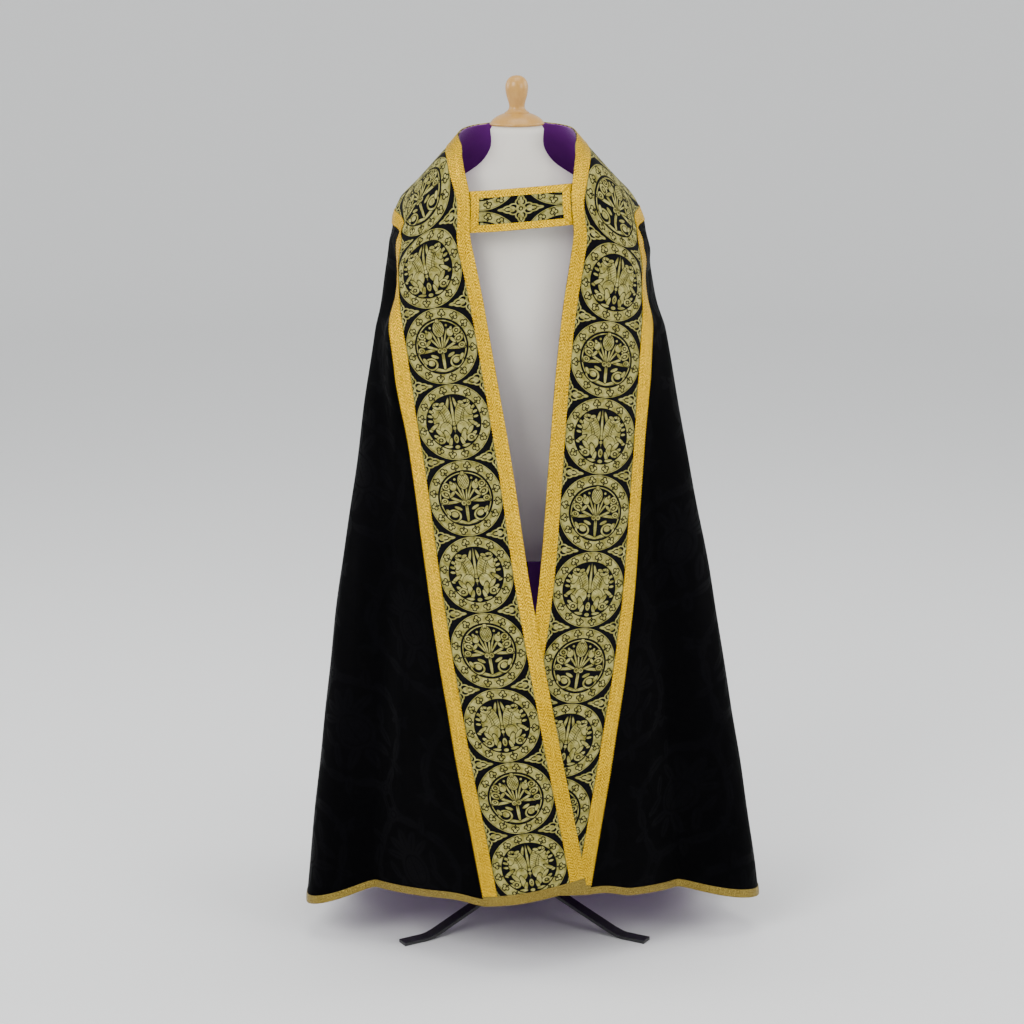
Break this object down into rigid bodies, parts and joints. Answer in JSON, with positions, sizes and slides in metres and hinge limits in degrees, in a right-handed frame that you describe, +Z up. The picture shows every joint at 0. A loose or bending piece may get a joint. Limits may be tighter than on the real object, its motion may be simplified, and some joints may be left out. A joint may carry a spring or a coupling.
{
  "type": "cope vestment on a limbless dress form",
  "caption": "Full-length half-circle cope of black damask with brocade orphreys, gold braid and a morse, worn on a padded limbless dress form.",
  "frame": {"origin": "middle of the whole object, on the floor", "axes": "+Z up; the fronts of the cope face -Y; +X is the viewer's right"},
  "size_m": [0.8888, 0.6832, 1.63],
  "materials": {
    "damask": "black tone-on-tone silk damask, satin figure on a matt ground",
    "brocade": "black silk brocade figured in pale greenish gold",
    "braid": "woven metallic gold braid",
    "lining": "violet plain-woven lining",
    "jersey": "cream knitted jersey, matt",
    "wood": "pale turned wood, satin lacquer",
    "steel": "black painted steel, satin"
  },
  "bodies": {
    "root": {"body_left": "damask", "body_back": "damask", "body_right": "damask", "orphrey_left": "brocade", "orphrey_right": "brocade", "orphrey_back": "brocade", "morse": "brocade", "braid_inner_left": "braid", "braid_inner_right": "braid", "braid_inner_back": "braid", "braid_outer_left": "braid", "braid_outer_right": "braid", "braid_outer_back": "braid", "hem_braid_left": "braid", "hem_braid_back": "braid", "hem_braid_right": "braid", "hem_braid_orphrey_left": "braid", "hem_braid_orphrey_right": "braid", "morse_braid": "braid", "lining": "lining", "torso": "jersey", "neck_cap": "wood", "finial": "wood", "pole": "steel", "hub": "steel", "leg_left": "steel", "leg_right": "steel", "leg_back": "steel"}
  },
  "joints": []
}
